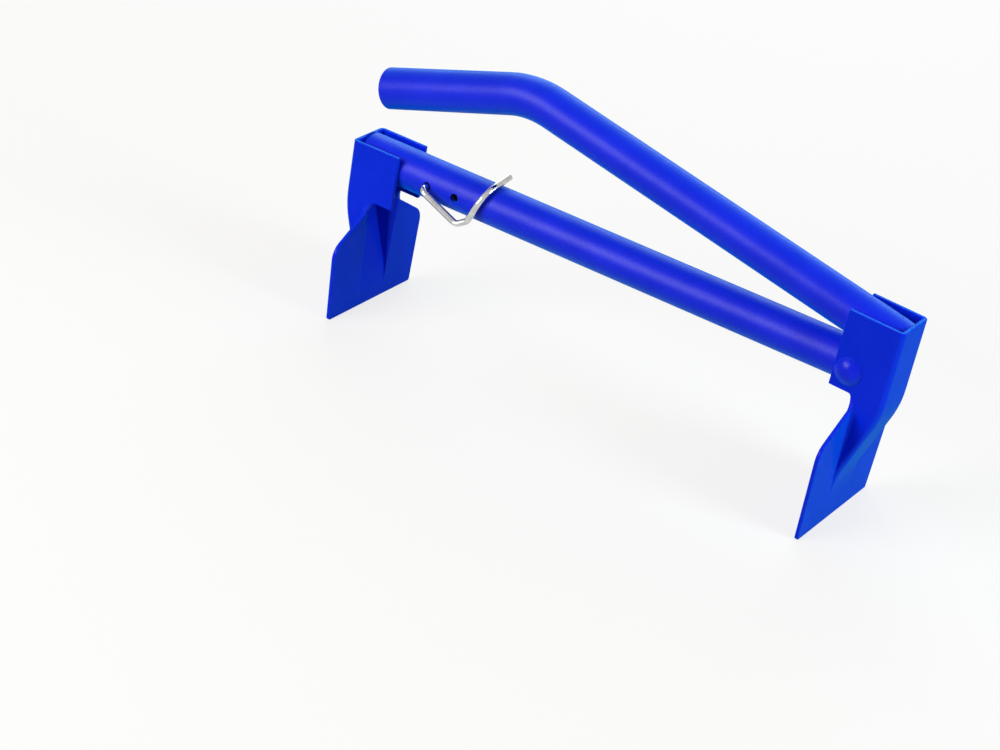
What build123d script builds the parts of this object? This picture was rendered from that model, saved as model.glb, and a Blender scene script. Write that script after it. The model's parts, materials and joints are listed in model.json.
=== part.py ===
from build123d import *
from math import cos, radians, sin, sqrt, tan
import os

# Block laying tongs, in millimetres and degrees.
# The model is laid out in the bar's own frame: X along the bar from the left jaw's outer face,
# Y across (the bolt's head is on -Y), Z up from the bar's axis. The last step moves it so that
# the claws stand on Z = 0 with the origin under the middle of the tongs.

# Tube stock
tube_od = 31.75
tube_wall = 2.9
stem_wall = 2.9
stem_length = 175.0
slide_gap = 0.275  # radial play of the stem in the bar
end_break = 0.6  # chamfer on sawn tube ends

# Pressed sheet of both jaws
sheet = 3.0
flange_depth = 43.7  # from the web's outer face to the flanges' free edges
side_gap = 0.3  # between a tube and each flange
web_bend = 4.0  # outer radius where the web turns into the flanges
wing_bend = 3.5  # inner radius where the flanges turn out into the wings
notch_height = 10.5  # from a flange's foot down to the root of its wing
claw_offset = 20.3  # from the web's outer face to the claw's outer face
web_lean = 18.0  # slope of the web between the channel and the claw
press_radius = 80.0  # of the web's two bends, at the kink and at the claw
claw_width = 106.0  # along the gripping edge
wing_taper = 3.5  # each wing's outer edge leans outwards going up
wing_slope = 31.0  # fall of the wing's top edge
wing_corner = 14.0  # rounding of the wing's top corner
edge_corner = 2.0  # rounding at the ends of the gripping edge
edge_round = 0.6  # on the sheet's sheared edges
bend_sink = 0.15  # how far under the claw's faces the wings' bends end

# Left jaw, heights from the bar's axis
left_top = 13.7
left_foot = -30.0

# Right jaw, heights from the pivot, with the jaw upright
right_top = 44.6
right_foot = -15.1
right_bottom = -121.8
pivot_to_web = 31.9
jaw_tilt = 2.55  # turn of the right jaw at rest, its top outwards

# Bar
pivot_x = 436.0  # from the left jaw's outer face
pin_hole_x = 70.0
hole_pitch = 25.4
bar_holes = 2
stem_holes = 4

# Handle
handle_gap = 0.5  # between the handle and the bar's rounded nose
handle_end_gap = 0.3  # between the handle's end and the right jaw's web
handle_fall = 12.1  # slope of the handle's long leg at rest
handle_run = 310.4  # from the point nearest the pivot to the bend's corner
handle_bend = 29.9
handle_bend_radius = 75.0
grip_length = 130.6  # from the bend's corner to the open end

# Pivot
bolt_d = 10.0
bolt_head_d = 20.6
bolt_head_height = 5.2
bolt_head_rim = 0.8
bolt_fit = 0.08  # radial, bolt in sleeve
bolt_hole_gap = 0.2  # radial, bolt in flange, washer and nut
bolt_end = 2.5  # bolt showing past the nut
sleeve_wall = 2.5
sleeve_play = 0.15  # at each end of the sleeve
press_gap = 0.05  # radial, sleeve in the bar's wall
washer_d = 20.0
washer_thickness = 2.0
nut_flats = 17.0
nut_hex_height = 8.0
nut_collar_wall = 0.8  # outside the insert
nut_collar_height = 2.4
insert_wall = 1.3
insert_depth = 2.6

# Lock pin
wire_d = 5.0
pin_hole_gap = 0.9  # radial, wire in its holes
clip_gap = 0.3  # wire above the top of the bar
leg_past_bar = 6.0
leg_stand_off = 8.1  # from the bar's side to the corner of the leg
leg_bend = 5.5
clip_tilt = 21.8
clip_from_leg = 47.0  # along the bar, leg to clip
clip_rise = 12.0  # straight stretch below the clip's arc
clip_sweep = 75.0
clip_tail = 16.0
foot_run = 34.0  # along the bar, leg to the clip's lowest corner
foot_drop = 16.5
foot_stand_off = 5.6
clip_bend = 5.0

# Welds
stem_weld_leg = 2.5
weld_gap = 0.3  # between the stem's weld and the bar's end
bead_radius = 3.2
bead_from_flange = 1.6  # bead's centre from the flange's inner face
bead_from_handle = 1.4  # bead's centre from the handle's surface
bead_length = 28.0

# Sizes that follow from these
tube_r = tube_od / 2
stem_od = tube_od - 2 * tube_wall - 2 * slide_gap
channel_half = tube_r + side_gap + sheet
inner_half = channel_half - sheet
inner_bend = web_bend - sheet
pin_hole_d = wire_d + 2 * pin_hole_gap
bolt_hole_d = bolt_d + 2 * bolt_hole_gap
sleeve_bore = bolt_d + 2 * bolt_fit
sleeve_od = sleeve_bore + 2 * sleeve_wall
insert_r = bolt_hole_d / 2 + insert_wall
nut_height = nut_hex_height + nut_collar_height
insert_level = nut_height - insert_depth - end_break
claw_face_u = pivot_to_web - claw_offset
tilt = radians(jaw_tilt)
tilt_loss = edge_round * (cos(tilt) + sin(tilt) - 1)  # the rounded edges' share of the tilted jaw's reach
bar_height = claw_face_u * sin(tilt) - right_bottom * cos(tilt) - tilt_loss
overall_length = pivot_x + pivot_to_web * cos(tilt) + right_top * sin(tilt) - tilt_loss

# Placings
to_part_frame = Pos(-overall_length / 2, 0, bar_height)
right_pose = Pos(pivot_x, 0, 0) * Rot(0, jaw_tilt, 0)
pivot_front = right_pose * Pos(0, -channel_half, 0) * Rot(90, 0, 0)
pivot_back = right_pose * Pos(0, channel_half, 0) * Rot(-90, 0, 0)
from_base = (Align.CENTER, Align.CENTER, Align.MIN)
from_top = (Align.CENTER, Align.CENTER, Align.MAX)


def along_x(start, length, diameter):
    """A round bar along X."""
    return Plane.YZ.offset(start) * Cylinder(diameter / 2, length, align=from_base)


def across_y(x, diameter, length):
    """A round bar along Y, centred on the bar's axis."""
    return Pos(x, 0, 0) * Rot(90, 0, 0) * Cylinder(diameter / 2, length)


def profile(plane, *edges):
    """A closed face on a plane, from lines and arcs drawn on that plane."""
    return plane * make_face(Curve() + list(edges))


def bent_channel(web_line, bend_radii, back, half_width, corner_radius):
    """A solid block behind a web that follows a bent line in the XZ plane, its web corners rounded."""
    web = FilletPolyline(*web_line, radius=bend_radii)
    top = web_line[0][1]
    bottom = web_line[-1][1]
    rest = Polyline(web_line[-1], (back, bottom), (back, top), web_line[0])
    block = extrude(profile(Plane.XZ, web, rest), half_width, both=True)
    sides = block.faces().sort_by(Axis.Y)
    corners = [e for side in (sides[0], sides[-1]) for e in side.edges() if e.bounding_box().max.X < back]
    return fillet(corners, corner_radius)


def wing_wedge(centre, radius, reach, apex, level):
    """The space between a bend's arc and its corner, drawn in to a point at the claw's tip."""
    x0, y0 = centre
    far_x, far_y = reach
    arc_end = (x0 + radius, y0)
    arc_start = (x0, y0 - radius)
    middle = (x0 + radius * cos(radians(45)), y0 - radius * sin(radians(45)))
    lines = Polyline(arc_end, (far_x, y0), (far_x, far_y), (x0, far_y), arc_start)
    section = profile(Plane.XY.offset(level), lines, ThreePointArc(arc_start, middle, arc_end))
    return loft([section.face(), Vertex(*apex)], ruled=True)


def notch_lip(centre, foot, root):
    """The flare that carries the bend between flange and wing up round the notch."""
    x0, y0 = centre
    bend = Pos(x0, y0) * (Circle(wing_bend + sheet) - Circle(wing_bend))
    quarter = Pos(x0, y0) * Rectangle(claw_width, claw_width, align=(Align.MIN, Align.MAX))
    axis = Axis((x0 + notch_height, 0, root), (0, 1, 0))
    lip = revolve(Plane.XY.offset(root) * (bend & quarter), axis, 90)
    edge = Polyline((channel_half, foot), (2 * y0, foot), (2 * y0, root), (y0, root), close=True)
    return lip - extrude(profile(Plane.YZ, edge), claw_width)


def claw_outline(root, bottom):
    """The flat claw seen along the bar, as wide above its corners as the wings' taper makes it."""
    root_y = channel_half + wing_bend
    edge_half = claw_width / 2
    taper = tan(radians(wing_taper))
    slope = tan(radians(wing_slope))
    corner_y = (edge_half + taper * (root - bottom + slope * root_y)) / (1 + taper * slope)
    corner_z = root - slope * (corner_y - root_y)
    right_side = [(edge_half, bottom), (corner_y, corner_z), (root_y, root)]
    left_side = [(-y, z) for y, z in reversed(right_side)]
    outline = make_face(Polyline(*right_side, *left_side, close=True))
    corners = outline.vertices().sort_by(Axis.X)
    outline = fillet([corners[0], corners[-1]], wing_corner)
    return fillet(outline.vertices().group_by(Axis.Y)[0], edge_corner)


def sheared_edges(jaw, top, root):
    """The sheet's edges at the top, down the flanges' free sides and round the claw up to the notches."""
    near = sheet / 10
    found = []
    for edge in jaw.edges():
        low = edge.bounding_box().min
        high = edge.bounding_box().max
        at_top = low.Z > top - near
        at_free_side = low.X > flange_depth - near
        on_wing = max(-low.Y, high.Y) > channel_half + wing_bend - near and high.Z < root + near
        flat = high.X - low.X < near and edge.geom_type != GeomType.BSPLINE
        if at_top or at_free_side or (on_wing and flat):
            found.append(edge)
    return found


def pressed_jaw(top, foot, bottom):
    """A jaw with its outer web face on X = 0 and its flanges towards +X.

    The sheet is a channel above. Below the notches its web leans in to the plane of the claw, the
    flanges run out to nothing at the tip, and the wings turn out flat beside them.
    """
    lean = radians(web_lean)
    root = foot - notch_height
    tip = root - claw_offset / tan(lean)
    inner_shift = sheet * tan(lean / 2)
    claw_inner = claw_offset + sheet
    bend_centre = (claw_offset - wing_bend, channel_half + wing_bend)
    notch_x = claw_offset - wing_bend + notch_height
    skin = sheet / 2
    clear = 2 * flange_depth

    outer_web = [(0, top), (0, root), (claw_offset, tip), (claw_offset, bottom)]
    inner_web = [
        (sheet, top + sheet),
        (sheet, root + inner_shift),
        (claw_inner, tip + inner_shift),
        (claw_inner, bottom - sheet),
    ]
    block = bent_channel(outer_web, press_radius, flange_depth, channel_half, web_bend)
    inner_radii = (press_radius - sheet, press_radius + sheet)
    hollow = bent_channel(inner_web, inner_radii, clear, inner_half, inner_bend)
    above_root = Pos(notch_x, 0, root) * Box(clear, claw_width, clear, align=from_base)
    block -= Pos(notch_x, 0, root) * Rot(90, 0, 0) * Cylinder(notch_height, claw_width) & above_root
    claw = extrude(Plane.YZ.offset(claw_offset) * claw_outline(root, bottom), sheet)
    outer_wedge = wing_wedge(
        bend_centre,
        wing_bend,
        (claw_offset + skin, channel_half - skin),
        (claw_offset + bend_sink, channel_half - bend_sink, tip),
        root,
    )
    inner_wedge = wing_wedge(
        bend_centre,
        wing_bend + sheet,
        (claw_inner + skin, inner_half - skin),
        (claw_inner + bend_sink, inner_half - bend_sink, tip + inner_shift),
        root,
    )
    notch_width = notch_x - claw_inner
    notch_arc = EllipticalCenterArc((notch_x, root), notch_width, notch_height, start_angle=90, arc_size=90)
    under_foot = Polyline(
        (claw_inner, root),
        (claw_inner, bottom - sheet),
        (clear, bottom - sheet),
        (clear, foot),
        (notch_x, foot),
    )
    notch = extrude(profile(Plane.XZ, notch_arc, under_foot), claw_width, both=True)
    lip = notch_lip(bend_centre, foot, root) - notch
    jaw = block + claw + outer_wedge + mirror(outer_wedge, Plane.XZ)
    jaw = jaw - hollow - notch - inner_wedge - mirror(inner_wedge, Plane.XZ)
    jaw = jaw + lip + mirror(lip, Plane.XZ)
    return fillet(sheared_edges(jaw, top, root), edge_round)


def make_left_jaw():
    return pressed_jaw(left_top, left_foot, -bar_height)


def make_right_jaw():
    jaw = pressed_jaw(right_top, right_foot, right_bottom)
    jaw = Pos(pivot_to_web, 0, 0) * Rot(0, 0, 180) * jaw
    jaw -= Pos(0, -channel_half, 0) * Box(bolt_hole_d, 4 * sheet, bolt_hole_d)
    jaw -= Pos(0, channel_half, 0) * Rot(90, 0, 0) * Cylinder(bolt_hole_d / 2, 4 * sheet)
    return right_pose * jaw


def pin_holes(count, length):
    """The cross holes for the lock pin, from the pin's own hole inwards."""
    return [across_y(pin_hole_x + i * hole_pitch, pin_hole_d, length) for i in range(count)]


def make_main_tube():
    start = sheet + stem_weld_leg + weld_gap
    length = pivot_x + tube_r - start
    tube = along_x(start, length, tube_od)
    tube = chamfer(tube.edges().group_by(Axis.X)[0], end_break)
    nose = across_y(pivot_x, tube_od, 2 * tube_od)
    straight = along_x(start, pivot_x - start, 2 * tube_od)
    tube = tube & (straight + nose)
    tube -= along_x(start - sheet, length + 2 * sheet, tube_od - 2 * tube_wall)
    tube -= across_y(pivot_x, sleeve_od + 2 * press_gap, 2 * tube_od)
    return tube - pin_holes(bar_holes, 2 * tube_od)


def make_stem_tube():
    tube = along_x(sheet, stem_length, stem_od)
    tube = chamfer(tube.edges().group_by(Axis.X)[-1], end_break)
    tube -= along_x(sheet, stem_length, stem_od - 2 * stem_wall)
    return tube - pin_holes(stem_holes, 2 * tube_od)


def make_stem_weld():
    stem_r = stem_od / 2
    section = Polyline(
        (sheet, stem_r),
        (sheet, stem_r + stem_weld_leg),
        (sheet + stem_weld_leg, stem_r),
        close=True,
    )
    return revolve(profile(Plane.XZ, section), Axis.X)


def handle_axis_at(distance):
    """A point of the handle's long leg, from the point nearest the pivot towards the web."""
    fall = radians(handle_fall)
    offset = tube_od + handle_gap
    x = pivot_x + offset * sin(fall) + distance * cos(fall)
    z = offset * cos(fall) - distance * sin(fall)
    return Vector(x, 0, z)


def handle_reach():
    """How far the handle runs past the point nearest the pivot: its top edge stops at the web."""
    slant = radians(handle_fall - jaw_tilt)
    web_inner = pivot_to_web - sheet
    offset = tube_od + handle_gap
    return (web_inner - handle_end_gap - (offset + tube_r) * sin(slant)) / cos(slant)


def make_handle_tube():
    rise = radians(handle_bend - handle_fall)
    corner = handle_axis_at(-handle_run)
    grip_end = corner - Vector(cos(rise), 0, sin(rise)) * grip_length
    path = FilletPolyline(grip_end, corner, handle_axis_at(handle_reach()), radius=handle_bend_radius)
    ring = Circle(tube_r) - Circle(tube_r - tube_wall)
    tube = sweep(Plane(origin=path @ 0, z_dir=path % 0) * ring, path)
    rim = tube.edges().filter_by(GeomType.CIRCLE).filter_by(lambda e: abs(e.radius - tube_r) < side_gap)
    return chamfer(rim.sort_by(Axis.X)[0], end_break)


def make_handle_welds():
    end = handle_axis_at(handle_reach())
    start = handle_axis_at(handle_reach() - bead_length)
    line = Plane(origin=start, z_dir=end - start, x_dir=(0, 1, 0))
    tube = line * Cylinder(tube_r, 4 * bead_length)
    between = Pos(pivot_x, 0, 0) * Box(4 * tube_od, 2 * inner_half, 4 * tube_od)
    bead_side = inner_half - bead_from_flange
    bead_below = sqrt((tube_r + bead_from_handle) ** 2 - bead_side ** 2)
    beads = []
    for side in (-1, 1):
        place = Pos(side * bead_side, -bead_below, 0)
        bead = line * place * Cylinder(bead_radius, bead_length, align=from_base)
        beads.append((bead & between) - tube)
    return beads


def make_pivot_bolt():
    head = Polyline((0, bolt_head_height), (0, 0), (bolt_head_d / 2, 0), (bolt_head_d / 2, bolt_head_rim))
    cap = bolt_head_height - bolt_head_rim
    ball = (bolt_head_d ** 2 / 4 + cap ** 2) / (2 * cap)
    middle_r = bolt_head_d / 4
    middle_h = bolt_head_height - ball + sqrt(ball ** 2 - middle_r ** 2)
    dome = ThreePointArc((bolt_head_d / 2, bolt_head_rim), (middle_r, middle_h), (0, bolt_head_height))
    head = revolve(profile(Plane.XZ, head, dome), Axis.Z)
    neck = Pos(0, 0, -sheet / 2) * Box(bolt_d, bolt_d, sheet)
    past_flange = washer_thickness + nut_height + bolt_end
    shank_length = 2 * channel_half + past_flange
    shank = Cylinder(bolt_d / 2, shank_length, align=from_top)
    shank = chamfer(shank.edges().group_by(Axis.Z)[0], end_break)
    return pivot_front * (head + neck + shank)


def make_pivot_sleeve():
    length = 2 * (inner_half - sleeve_play)
    return across_y(pivot_x, sleeve_od, length) - across_y(pivot_x, sleeve_bore, 2 * length)


def make_pivot_washer():
    washer = Cylinder(washer_d / 2, washer_thickness, align=from_base)
    washer = chamfer(washer.edges().group_by(Axis.Z)[-1], end_break / 2)
    washer -= Cylinder(bolt_hole_d / 2, 4 * washer_thickness)
    return pivot_back * washer


def make_pivot_nut():
    hexagon = RegularPolygon(nut_flats / 2, 6, major_radius=False)
    nut = extrude(hexagon, nut_hex_height)
    corner_r = nut_flats / 2 / cos(radians(30))
    corner_drop = (corner_r - nut_flats / 2) * tan(radians(30))
    cone_side = Polyline(
        (0, 0),
        (corner_r, 0),
        (corner_r, nut_hex_height - corner_drop),
        (nut_flats / 2, nut_hex_height),
        (0, nut_hex_height),
        close=True,
    )
    nut = nut & revolve(profile(Plane.XZ, cone_side), Axis.Z)
    nut += Cylinder(insert_r + nut_collar_wall, nut_height, align=from_base)
    nut = fillet(nut.edges().group_by(Axis.Z)[-1], end_break)
    nut -= Cylinder(bolt_hole_d / 2, 4 * nut_height)
    nut -= Pos(0, 0, insert_level) * Cylinder(insert_r, insert_depth, align=from_base)
    return pivot_back * Pos(0, 0, washer_thickness) * nut


def make_nut_insert():
    ring = Cylinder(insert_r, insert_depth, align=from_base)
    ring -= Cylinder(bolt_hole_d / 2, 4 * insert_depth)
    return pivot_back * Pos(0, 0, washer_thickness + insert_level) * ring


def make_lock_pin():
    lean = radians(clip_tilt)
    up = Vector(sin(lean), 0, cos(lean))
    clip_radius = (tube_r + clip_gap + wire_d / 2) / cos(lean)
    centre = Vector(pin_hole_x + clip_from_leg, 0, 0)

    def on_arc(angle):
        a = radians(angle)
        return centre + Vector(0, -1, 0) * (clip_radius * cos(a)) + up * (clip_radius * sin(a))

    leg_end = Vector(pin_hole_x, tube_r + leg_past_bar, 0)
    leg_corner = Vector(pin_hole_x, -tube_r - leg_stand_off, 0)
    low_corner = Vector(pin_hole_x + foot_run, -tube_r - foot_stand_off, -foot_drop)
    rise_start = on_arc(0) - up * clip_rise
    corners = (leg_end, leg_corner, low_corner, rise_start, on_arc(0))
    bent = FilletPolyline(*corners, radius=(leg_bend, clip_bend, clip_bend))
    arc = ThreePointArc(on_arc(0), on_arc(clip_sweep / 2), on_arc(clip_sweep))
    tail = Line(arc @ 1, arc @ 1 + (arc % 1) * clip_tail)
    path = bent + arc + tail
    pin = sweep(Plane(origin=leg_end, z_dir=(0, -1, 0)) * Circle(wire_d / 2), path)
    ends = [pin.edges().sort_by(Axis.Y)[-1], pin.edges().sort_by(Axis.Z)[-1]]
    return chamfer(ends, end_break)


left_jaw = make_left_jaw()
pieces = {
    "main_tube": make_main_tube(),
    "stem_tube": make_stem_tube(),
    "stem_weld": make_stem_weld() - left_jaw,
    "left_jaw": left_jaw,
    "right_jaw": make_right_jaw(),
    "handle_tube": make_handle_tube(),
    "handle_welds": Compound(make_handle_welds()),
    "pivot_bolt": make_pivot_bolt(),
    "pivot_sleeve": make_pivot_sleeve(),
    "pivot_washer": make_pivot_washer(),
    "pivot_nut": make_pivot_nut(),
    "nut_insert": make_nut_insert(),
    "lock_pin": make_lock_pin(),
}

os.makedirs("parts", exist_ok=True)
for name, piece in pieces.items():
    export_step(to_part_frame * piece, f"parts/{name}.step")
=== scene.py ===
# %% [markdown]
# # Block laying tongs
#
# A hand tool that grips a heavy load between two claws. A tube bar has one claw at its left end, where a
# wire pin holds it, and a second claw on a pivot at its right end. A bent tube handle is welded to that
# second claw, and when the handle is lifted, the claws close. Nearly all that shows, apart from the bright
# wire, is covered in a glossy blue enamel.
#
# The packed model is the frame: every node is already the right size and in the right place. This lesson
# gives each node its finish, replaces three nodes whose small forms are easier to make in a mesh, and sets
# the light and the camera.

# %% Load the frame
import json
from math import asin, atan2, pi, radians

import bmesh
import bpy
from mathutils import Matrix, Vector


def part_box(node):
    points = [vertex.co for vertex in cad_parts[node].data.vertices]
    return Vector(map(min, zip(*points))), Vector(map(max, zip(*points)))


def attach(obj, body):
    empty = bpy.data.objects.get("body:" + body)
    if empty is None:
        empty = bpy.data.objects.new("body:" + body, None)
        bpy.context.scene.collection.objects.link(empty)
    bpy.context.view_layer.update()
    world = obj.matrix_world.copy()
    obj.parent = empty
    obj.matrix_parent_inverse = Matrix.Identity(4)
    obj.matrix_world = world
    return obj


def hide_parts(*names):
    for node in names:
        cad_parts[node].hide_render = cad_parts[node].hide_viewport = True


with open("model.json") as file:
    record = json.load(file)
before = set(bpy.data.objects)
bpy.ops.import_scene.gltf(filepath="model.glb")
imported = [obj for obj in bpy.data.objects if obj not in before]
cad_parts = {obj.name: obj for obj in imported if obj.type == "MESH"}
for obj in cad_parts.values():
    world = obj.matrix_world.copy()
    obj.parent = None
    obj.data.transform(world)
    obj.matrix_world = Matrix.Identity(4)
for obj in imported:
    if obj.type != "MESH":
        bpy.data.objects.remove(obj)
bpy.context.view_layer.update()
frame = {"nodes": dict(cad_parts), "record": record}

nodes = frame["nodes"]
mm = 0.001
print("nodes:", ", ".join(sorted(nodes)))

# %% [markdown]
# ## Shader maths as Python
#
# A material is a tree of nodes, and maths in it takes one Math node for each sign. Adding those by hand
# hides what they work out. Here a small class wraps an output socket, so that `0.3 + 0.25 * lines` adds the
# Math nodes by itself. One method adds any other node: its settings come first, because they can change
# which sockets it has, and then the values or links of its sockets.

# %% A socket that can be calculated with


class Signal:
    """An output socket of a material, with Python's signs for Math nodes."""

    def __init__(self, socket):
        self.socket = socket

    @classmethod
    def made(cls, tree, kind, settings, sockets, output=0):
        """One output of a new node of any kind."""
        added = tree.nodes.new(kind)
        for name, value in settings.items():
            setattr(added, name, value)
        for name, value in sockets.items():
            if isinstance(value, Signal):
                tree.links.new(value.socket, added.inputs[name])
            else:
                added.inputs[name].default_value = value
        return cls(added.outputs[output])

    def node(self, kind, settings, sockets, output=0):
        """A new node in the same tree."""
        return self.made(self.socket.id_data, kind, settings, sockets, output)

    def maths(self, operation, first, second):
        return self.node("ShaderNodeMath", {"operation": operation}, {0: first, 1: second})

    def __add__(self, other):
        return self.maths("ADD", self, other)

    def __radd__(self, other):
        return self.maths("ADD", other, self)

    def __mul__(self, other):
        return self.maths("MULTIPLY", self, other)

    def __rmul__(self, other):
        return self.maths("MULTIPLY", other, self)

    def either(self, other):
        """The greater of two signals."""
        return self.maths("MAXIMUM", self, other)

    def noise(self, scale, detail):
        return self.node("ShaderNodeTexNoise", {}, {"Vector": self, "Scale": scale, "Detail": detail})

    def fade(self, low=0.3, high=0.7):
        """0 below low and 1 above high, with a soft step: noise lies mostly between 0.3 and 0.7."""
        settings = {"interpolation_type": "SMOOTHSTEP"}
        return self.node("ShaderNodeMapRange", settings, {"Value": self, "From Min": low, "From Max": high})

    def blend(self, first, second):
        """One colour where the signal is 0 and another where it is 1."""
        sockets = {"Factor": self, 6: first, 7: second}
        return self.node("ShaderNodeMix", {"data_type": "RGBA"}, sockets, output=2)

    def bump(self, height, strength):
        return self.node("ShaderNodeBump", {}, {"Height": self, "Distance": height, "Strength": strength})


print("a signal can:", ", ".join(name for name in vars(Signal) if not name.startswith("__")))

# %% A new finish, and what feeds it


def new_finish(name):
    """A material, its shader and the object coordinates, in metres, that its patterns are drawn on."""
    finish = bpy.data.materials.new(name)
    finish.use_nodes = True
    shader = finish.node_tree.nodes["Principled BSDF"]
    place = Signal.made(finish.node_tree, "ShaderNodeTexCoord", {}, {}, output="Object")
    return finish, shader, place


def feed(shader, **signals):
    """Links signals, or sets plain values, on the shader's sockets: base_color feeds Base Color."""
    for name, value in signals.items():
        socket = shader.inputs[name.replace("_", " ").title().replace("Ior", "IOR")]
        if isinstance(value, Signal):
            shader.id_data.links.new(value.socket, socket)
        else:
            socket.default_value = value


slot_of = {row["node"]: row["material_slot"] for row in frame["record"]["subparts"]}
print("finishes to make:", ", ".join(sorted(set(slot_of.values()))))

# %% [markdown]
# ## Blue enamel
#
# The tubes and the jaws are dipped or sprayed in one bright blue enamel. Wet paint pulls itself nearly
# flat, and what is left is a fine orange peel, about a millimetre across and a few hundredths high, with a
# grain of dust caught here and there. The coat is a little thicker in some places than in others, which
# moves the colour slightly and makes the gloss uneven. A flat blue would show none of this, so noise at
# three sizes drives colour, gloss and bump.
#
# The gloss could be the shader's own reflection. A thin coat over a matt blue is used instead, because its
# weight scales the reflection at every angle alike, and the blue stays deep where a face is seen aslant.
# The peel is drawn in that weight as well as in the bump, because the gloss is too soft to show fine bumps.
# Where light comes in at a slant, such a blue turns lighter and a little green. An azure sheen does that.

# %% Enamel
deep_blue = (0.003, 0.009, 0.72, 1)
clear_blue = (0.004, 0.011, 0.78, 1)
azure = (0.0, 0.4, 1.0, 1)
peel_height = 0.06 * mm
dust_over_peel = 2


def enamel(name, peel_scale, shine, blur, sheen):
    """Blue enamel: the size of its peel, and how strong and how soft its gloss and its sheen are."""
    finish, shader, place = new_finish(name)
    thickness = place.noise(scale=38, detail=3)
    grain = place.noise(peel_scale, detail=2).fade()
    dust = place.noise(scale=420, detail=1).fade(low=0.7, high=0.78)
    feed(
        shader,
        base_color=thickness.fade().blend(deep_blue, clear_blue),
        roughness=0.5 + 0.1 * thickness,
        coat_weight=shine * (0.65 + 0.3 * thickness + 0.4 * grain),
        normal=(grain + dust_over_peel * dust).bump(peel_height, strength=0.5),
        specular_ior_level=0.0,
        coat_roughness=blur,
        sheen_weight=sheen,
        sheen_tint=azure,
        sheen_roughness=0.53,
    )
    return finish


tube_coat = {"peel_scale": 900, "shine": 0.42, "blur": 0.4, "sheen": 0.65}
sheet_coat = {"peel_scale": 760, "shine": 0.09, "blur": 0.2, "sheen": 1.0}
bolt_coat = {"peel_scale": 1100, "shine": 0.28, "blur": 0.24, "sheen": 0.6}
finishes = {
    "bar_paint": enamel("bar_enamel", **tube_coat),
    "handle_paint": enamel("handle_enamel", **tube_coat),
    "jaw_paint": enamel("jaw_enamel", **sheet_coat),
    "bolt_paint": enamel("bolt_enamel", **bolt_coat),
}
print("painted:", ", ".join(finishes))

# %% [markdown]
# ## Plain metals and the nylon ring
#
# The pin is bent from bright zinc-plated wire: the plating is smooth with faint cloudy patches. The stem
# and the sleeve are bare steel. The stem's steel is made nearly black, as painted shade, because it shows
# only through the spare hole in the bar. A tube is drawn along its length, so its marks are long streaks
# along X, and a turned sleeve has fine rings round Y. Such marks could be bumps alone, but worn metal also
# changes colour along them, so one noise, stretched by a Mapping node, does both. The lock nut's ring is
# off-white nylon, which is waxy.

# %% Metals
dull_zinc = (0.52, 0.52, 0.51, 1)
bright_zinc = (0.66, 0.66, 0.65, 1)
along_tube = (40, 900, 900)
round_sleeve = (500, 4000, 500)


def plated_wire(name):
    finish, shader, place = new_finish(name)
    clouds = place.noise(scale=140, detail=4)
    pits = place.noise(scale=1800, detail=2)
    feed(
        shader,
        base_color=clouds.fade(low=0.35).blend(dull_zinc, bright_zinc),
        metallic=1.0,
        roughness=0.06 + 0.1 * clouds,
        normal=pits.bump(height=0.02 * mm, strength=0.25),
    )
    return finish


def bare_steel(name, stretch, dark, light):
    """Steel with marks in one direction, which stretch gives as a scale along X, Y and Z."""
    finish, shader, place = new_finish(name)
    stretched = place.node("ShaderNodeMapping", {}, {"Vector": place, "Scale": stretch})
    lines = stretched.noise(scale=1, detail=4)
    stains = place.noise(scale=60, detail=4)
    feed(
        shader,
        base_color=(0.6 * lines + 0.4 * stains).fade().blend(dark, light),
        metallic=1.0,
        roughness=0.3 + 0.25 * lines,
        normal=lines.bump(height=0.03 * mm, strength=0.3),
    )
    return finish


finishes["wire_zinc"] = plated_wire("wire_zinc")
# The stem shows only through the spare hole, so both its steels are made nearly black: painted shade for
# the inside of the bar.
stem_shade_dark, stem_shade_streak = (0.09, 0.09, 0.095, 1), (0.2, 0.2, 0.21, 1)
finishes["stem_steel"] = bare_steel("stem_steel", along_tube, stem_shade_dark, stem_shade_streak)
grey, bright = (0.36, 0.36, 0.37, 1), (0.55, 0.55, 0.57, 1)
finishes["sleeve_steel"] = bare_steel("sleeve_steel", round_sleeve, grey, bright)
print("metal and painted:", ", ".join(finishes))

# %% Nylon
waxy = (0.66, 0.67, 0.63, 1)
milky = (0.78, 0.79, 0.75, 1)


def nylon(name):
    finish, shader, place = new_finish(name)
    haze = place.noise(scale=500, detail=3)
    feed(
        shader,
        base_color=haze.fade().blend(waxy, milky),
        roughness=0.38 + 0.15 * haze,
        normal=haze.bump(height=0.03 * mm, strength=0.3),
    )
    return finish


finishes["insert_plastic"] = nylon("insert_nylon")
print("all finishes:", ", ".join(finishes))

# %% [markdown]
# ## A finish for every node
#
# The record says which slot each node belongs to. A finish could be chosen for each node by name, but then
# the record and the picture could drift apart, so every node takes the finish of its slot. The jaws and the
# tubes have slots of their own, because a drawn tube shines as a band and a pressed sheet is duller.

# %% Give each node its finish
for name, node in nodes.items():
    node.data.materials.clear()
    node.data.materials.append(finishes[slot_of[name]])
    print(name, "is finished in", node.data.materials[0].name)

# %% [markdown]
# ## From a bmesh to a piece
#
# The next three pieces are modelled here, because ripples and threads are costly in CAD and easy in a mesh.
# Each one ends in the same way: doubles are merged, the faces are turned outwards, and the shading is
# smooth but for edges that turn sharply. The piece then replaces its CAD node and rides on the same body.

# %% One way to finish a piece
same_place = 0.002 * mm


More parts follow.
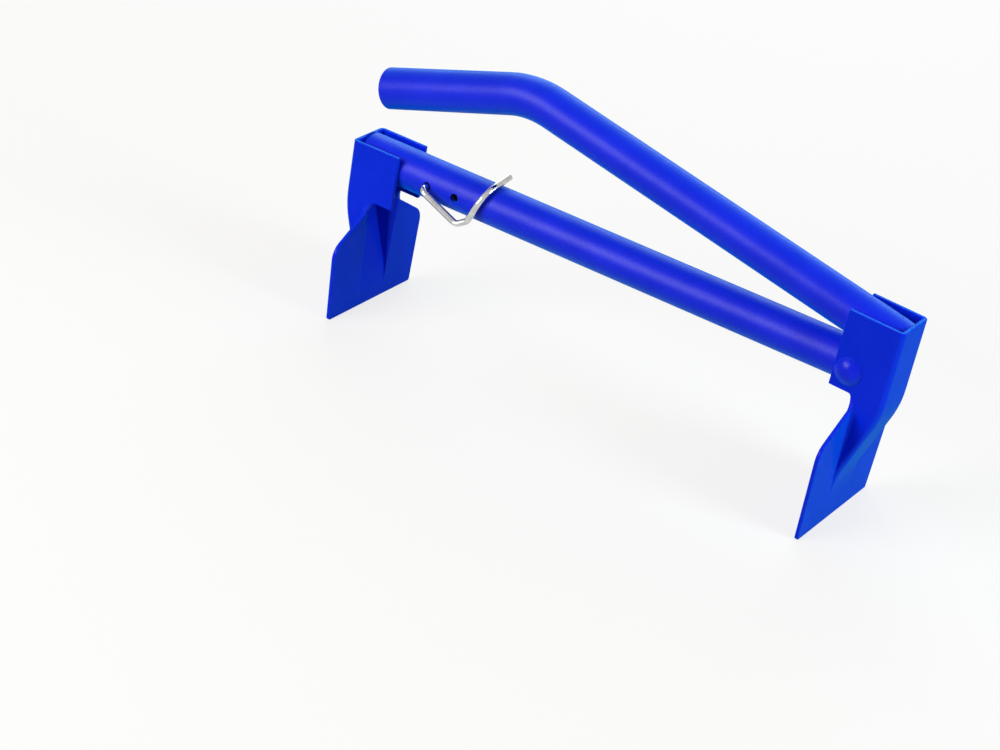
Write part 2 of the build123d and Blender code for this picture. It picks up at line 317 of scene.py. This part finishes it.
def stand_in(form, node, body, slot, sharp):
    """Makes a bmesh the visible piece for a CAD node, with hard edges above a turn of sharp degrees."""
    bmesh.ops.remove_doubles(form, verts=form.verts, dist=same_place)
    bmesh.ops.recalc_face_normals(form, faces=form.faces)
    mesh = bpy.data.meshes.new(node + "_shape")
    form.to_mesh(mesh)
    form.free()
    mesh.shade_smooth()
    mesh.set_sharp_from_angle(angle=radians(sharp))
    mesh.materials.append(finishes[slot])
    piece = bpy.data.objects.new(node + "_shape", mesh)
    bpy.context.scene.collection.objects.link(piece)
    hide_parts(node)
    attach(piece, body)
    print(piece.name, "has", len(mesh.polygons), "faces")


def trace(form, corners):
    """A chain of edges through corners given as radius and height in millimetres."""
    points = [form.verts.new((radius * mm, 0, height * mm)) for radius, height in corners]
    return points + [form.edges.new(pair) for pair in zip(points, points[1:])]


for name in ("pivot_bolt", "stem_weld", "handle_welds"):
    print(name, "has", len(nodes[name].data.polygons), "triangles as packed")

# %% [markdown]
# ## Pivot bolt
#
# The right claw turns on a round-headed coach bolt, which is painted over, and its threaded end stands out
# of a lock nut at the back. Head and shank are one line spun round the axis: the dome is itself a spun
# point, and at its foot the paint runs out in a thin fillet. The thread could be stacked rings, but those
# don't climb, so it is one tooth, spun many turns while each step also climbs a little.

# %% Sizes of the bolt, in millimetres
head_r, head_height, head_rim = 10.3, 5.2, 0.8
waist, fillet_height, fillet_reach = 0.1, 0.15, 0.45
shank_r, core_r, plain_length, run_out = 5.0, 4.2, 38.5, 0.6
tip_height, tip_taper = 0.4, 0.5
neck_width, neck_height, neck_middle = 10, 3.4, -1.3
pitch, root_sink, thread_clear = 1.5, 0.15, 0.05
bolt_low, bolt_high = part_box("pivot_bolt")
shank_length = (bolt_high.y - bolt_low.y) / mm - head_height
print("bolt under its head:", round(shank_length, 2), "mm")

# %% Head, neck and shank
up = (0, 0, 1)
centre = (0, 0, 0)
dome_steps, bolt_steps = 12, 56
cap = head_height - head_rim
ball = (head_r ** 2 + cap ** 2) / (2 * cap)
bolt = bmesh.new()
crown = bolt.verts.new((0, 0, head_height * mm))
ball_centre = (0, 0, (head_height - ball) * mm)
dome_angle = asin(head_r / ball)
bmesh.ops.spin(bolt, geom=[crown], cent=ball_centre, axis=(0, 1, 0), angle=dome_angle, steps=dome_steps)
trace(bolt, [
    (head_r, head_rim),
    (head_r - waist, fillet_height),
    (head_r + fillet_reach, 0),
    (shank_r, 0),
    (shank_r, -plain_length),
    (core_r, -plain_length - run_out),
    (core_r, tip_height - shank_length),
    (core_r - tip_taper, -shank_length),
    (0, -shank_length),
])
outline = bolt.verts[:] + bolt.edges[:]
bmesh.ops.spin(bolt, geom=outline, cent=centre, axis=up, angle=2 * pi, steps=bolt_steps, use_merge=True)
bmesh.ops.remove_doubles(bolt, verts=bolt.verts, dist=same_place)
neck_size = Matrix.Diagonal((neck_width * mm, neck_width * mm, neck_height * mm, 1))
neck_place = Matrix.Translation((0, 0, neck_middle * mm))
bmesh.ops.create_cube(bolt, size=1, matrix=neck_place @ neck_size)
print("bolt without its thread:", len(bolt.faces), "faces")

# %% Thread
turns, turn_steps = 12, 30
root_r = core_r - root_sink
tooth = trace(bolt, [
    (root_r, 0),
    (root_r, pitch / 8),
    (shank_r, pitch * 7 / 16),
    (shank_r, pitch * 9 / 16),
    (root_r, pitch * 7 / 8),
    (root_r, pitch),
])
tooth_points = [part for part in tooth if isinstance(part, bmesh.types.BMVert)]
lower = Matrix.Translation((0, 0, -(shank_length + pitch) * mm))
bmesh.ops.transform(bolt, matrix=lower, verts=tooth_points)
before = set(bolt.faces)
climb = (0, 0, pitch / turn_steps * mm)
bmesh.ops.spin(
    bolt, geom=tooth, cent=centre, axis=up, dvec=climb, angle=2 * pi * turns, steps=turn_steps * turns
)
thread = [face for face in bolt.faces if face not in before]
thread_points = list({point for face in thread for point in face.verts})
bmesh.ops.remove_doubles(bolt, verts=thread_points, dist=same_place)
print("thread:", turns, "turns,", len(thread), "faces")

# %% Cut the thread to length and place the bolt
thread_start = -plain_length - run_out / 2
thread_end = tip_height + thread_clear - shank_length
on_plane = 0.0001 * mm
for height, outwards in ((thread_start, 1), (thread_end, -1)):
    coil = [face for face in bolt.faces if face not in before]
    geom = list({part for face in coil for part in (*face.verts, *face.edges)}) + coil
    plane = {"plane_co": (0, 0, height * mm), "plane_no": (0, 0, outwards)}
    bmesh.ops.bisect_plane(bolt, geom=geom, dist=on_plane, clear_outer=True, **plane)
bmesh.ops.holes_fill(bolt, edges=[edge for edge in bolt.edges if edge.is_boundary], sides=0)
pivot = frame["record"]["behaviour"]["joints"][0]["pos_m"]
jaw_tilt = radians(2.55)
head_seat = Matrix.Translation((pivot[0], bolt_low.y + head_height * mm, pivot[2]))
bolt_place = head_seat @ Matrix.Rotation(jaw_tilt, 4, "Y") @ Matrix.Rotation(pi / 2, 4, "X")
bmesh.ops.transform(bolt, matrix=bolt_place, verts=bolt.verts)
stand_in(bolt, "pivot_bolt", "lever", "bolt_paint", sharp=40)

# %% [markdown]
# ## Welds
#
# A weld laid by hand is a row of small frozen ripples. A noise bump would only shade them, so they are
# formed: the bead is divided into thin slices and every second one is swollen about its own middle. The
# ring round the stem is a spun section, and the two beads under the handle are cylinders with rounded ends.

# %% Ripples


def ripple(form, slices, swell):
    """Swells every second slice of vertices about its own middle."""
    for ring in slices[::2]:
        middle = sum((point.co for point in ring), Vector()) / len(ring)
        bmesh.ops.scale(form, vec=(swell,) * 3, verts=ring, space=Matrix.Translation(-middle))


def sliced(form, key):
    """The vertices sorted into slices by a whole number that key works out from a place."""
    slices = {}
    for point in form.verts:
        slices.setdefault(key(point.co), []).append(point)
    return [slices[number] for number in sorted(slices)]


weld_low, weld_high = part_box("stem_weld")
print("ring weld:", round((weld_high.z - weld_low.z) / mm, 1), "mm across")

# %% Weld round the stem
stem_r, leg, toe = 12.7, 2.5, 0.5
toe_reach, toe_rise = 0.85 * leg, 0.86 * leg
weld_slices, weld_swell = 84, 1.16
weld = bmesh.new()
section = [
    (stem_r, 0),
    (stem_r + leg, 0),
    (stem_r + toe_reach, toe),
    (stem_r + toe, toe_rise),
    (stem_r, leg),
]
trace(weld, [*section, section[0]])
bmesh.ops.remove_doubles(weld, verts=weld.verts, dist=same_place)
loop = weld.verts[:] + weld.edges[:]
bmesh.ops.spin(weld, geom=loop, cent=centre, axis=up, angle=2 * pi, steps=weld_slices, use_merge=True)


def slice_round(place):
    return round(atan2(place.y, place.x) / (2 * pi) * weld_slices) % weld_slices


ripple(weld, sliced(weld, slice_round), weld_swell)
web_seat = Matrix.Translation((weld_low.x, 0, (weld_low.z + weld_high.z) / 2))
bmesh.ops.transform(weld, matrix=web_seat @ Matrix.Rotation(pi / 2, 4, "Y"), verts=weld.verts)
stand_in(weld, "stem_weld", "bar", "jaw_paint", sharp=60)

# %% Beads under the handle
bead_r, bead_length = 3.1 * mm, 27.4 * mm
bead_sides, bead_cuts = 18, 25
bead_swell, end_swell = 1.09, 0.55
bead_middle = Vector((0.212656, 0.014575, 0.143191))
handle_fall = radians(12.1)
bead_turn = Matrix.Rotation(pi / 2 + handle_fall, 4, "Y")


def slice_along(place):
    return round((place.z / bead_length + 0.5) * (bead_cuts + 1))


beads = bmesh.new()
for side in (-1, 1):
    bead = bmesh.new()
    bmesh.ops.create_cone(
        bead, cap_ends=True, segments=bead_sides, radius1=bead_r, radius2=bead_r, depth=bead_length
    )
    long_edges = [edge for edge in bead.edges if abs(edge.verts[0].co.z - edge.verts[1].co.z) > bead_r]
    bmesh.ops.subdivide_edges(bead, edges=long_edges, cuts=bead_cuts)
    slices = sliced(bead, slice_along)
    ripple(bead, slices[1:-1], bead_swell)
    ripple(bead, [slices[0]], end_swell)
    ripple(bead, [slices[-1]], end_swell)
    bead_place = Matrix.Translation((bead_middle.x, side * bead_middle.y, bead_middle.z))
    bmesh.ops.transform(bead, matrix=bead_place @ bead_turn, verts=bead.verts)
    laid = bpy.data.meshes.new("bead")
    bead.to_mesh(laid)
    bead.free()
    beads.from_mesh(laid)
    bpy.data.meshes.remove(laid)
stand_in(beads, "handle_welds", "lever", "handle_paint", sharp=60)

# %% [markdown]
# ## Floor and light
#
# The tool stands on its claws on a plain pale floor. One large soft light at the front left draws the
# broad band along each tube, a second one behind draws a lighter rim along the tubes and the sheet's edges,
# and a cool one from the right lights the outer face of the right jaw.
#
# The pale background could come from stronger lamps, but those would wash out the paint. Instead, floor and
# world are lifted only for rays that show them: the camera's, and those in gloss or through glass. A Light
# Path node tells these rays from the ones that carry light. The lamps still light the floor's own colour,
# so it keeps the shadows, and the dim world leaves the colours about as they are written.

# %% Floor
black = (0, 0, 0, 1)
paper = (1, 0.99, 0.97, 1)
floor_grey = (0.22, 0.215, 0.21, 1)
floor_lift = 0.76
floor_half = 12.0


def shown(tree):
    """1 for rays from the camera, in gloss or through glass, and 0 for those that only carry light."""
    camera_ray, gloss_ray, glass_ray = (
        Signal.made(tree, "ShaderNodeLightPath", {}, {}, output=kind)
        for kind in ("Is Camera Ray", "Is Glossy Ray", "Is Transmission Ray")
    )
    return camera_ray.either(gloss_ray).either(glass_ray)


floor_mesh = bpy.data.meshes.new("floor")
ground = bmesh.new()
bmesh.ops.create_grid(ground, x_segments=1, y_segments=1, size=floor_half)
ground.to_mesh(floor_mesh)
ground.free()
floor = bpy.data.objects.new("floor", floor_mesh)
bpy.context.scene.collection.objects.link(floor)
floor_finish, floor_shader, _ = new_finish("floor_paper")
feed(
    floor_shader,
    base_color=floor_grey,
    roughness=0.9,
    specular_ior_level=0.1,
    emission_color=shown(floor_finish.node_tree).blend(black, paper),
    emission_strength=floor_lift,
)
floor_mesh.materials.append(floor_finish)
print("floor:", 2 * floor_half, "m square at Z = 0")

# %% Light
world = bpy.data.worlds.new("studio")
bpy.context.scene.world = world
world.use_nodes = True
sky = world.node_tree.nodes["Background"]
world_light = 0.12
backdrop = 0.83
feed(sky, color=paper, strength=world_light + (backdrop - world_light) * shown(world.node_tree))
middle = Vector((0, 0, 0.12))


def soft_light(name, place, width, height, power, colour):
    """A rectangular soft light that faces the middle of the tongs."""
    lamp = bpy.data.lights.new(name, "AREA")
    lamp.shape = "RECTANGLE"
    lamp.size = width
    lamp.size_y = height
    lamp.energy = power
    lamp.color = colour
    stand = bpy.data.objects.new(name, lamp)
    stand.location = place
    stand.rotation_euler = (middle - Vector(place)).to_track_quat("-Z", "Y").to_euler()
    bpy.context.scene.collection.objects.link(stand)
    print(name, "at", place, power, "W")


warm, cool, aqua = (1.0, 0.97, 0.98), (0.8, 0.92, 1.0), (0.78, 0.95, 1.0)
soft_light("front_light", (-0.95, -1.8, 0.92), width=1.4, height=1.0, power=40, colour=warm)
soft_light("back_light", (-0.95, 1.9, 1.3), width=2.2, height=1.8, power=36, colour=cool)
soft_light("side_light", (2.2, 0.1, 0.9), width=1.0, height=0.8, power=46, colour=aqua)

# %% [markdown]
# ## Camera
#
# The tongs are seen from the front right and a little above, with a roll that makes the bar run downhill. A
# constraint could aim a camera at the middle, but this view was fitted to the tubes' edges, and its roll
# comes from that fit. So its place, its three angles and its lens are numbers, and one matrix holds them.

# %% Camera
eye = Vector((0.8054, -1.5626, 0.9629))
azimuth = radians(29.63)
elevation = radians(28.48)
roll = radians(9.76)
camera_data = bpy.data.cameras.new("camera")
camera_data.sensor_width = 36
camera_data.lens = 95.57
camera = bpy.data.objects.new("camera", camera_data)
turn = Matrix.Rotation(azimuth, 4, "Z") @ Matrix.Rotation(pi / 2 - elevation, 4, "X")
camera.matrix_world = Matrix.Translation(eye) @ turn @ Matrix.Rotation(roll, 4, "Z")
bpy.context.scene.collection.objects.link(camera)
bpy.context.scene.camera = camera
bpy.context.scene.view_settings.view_transform = "Standard"
print("camera:", round((eye - middle).length, 3), "m from the tongs")

# %% [markdown]
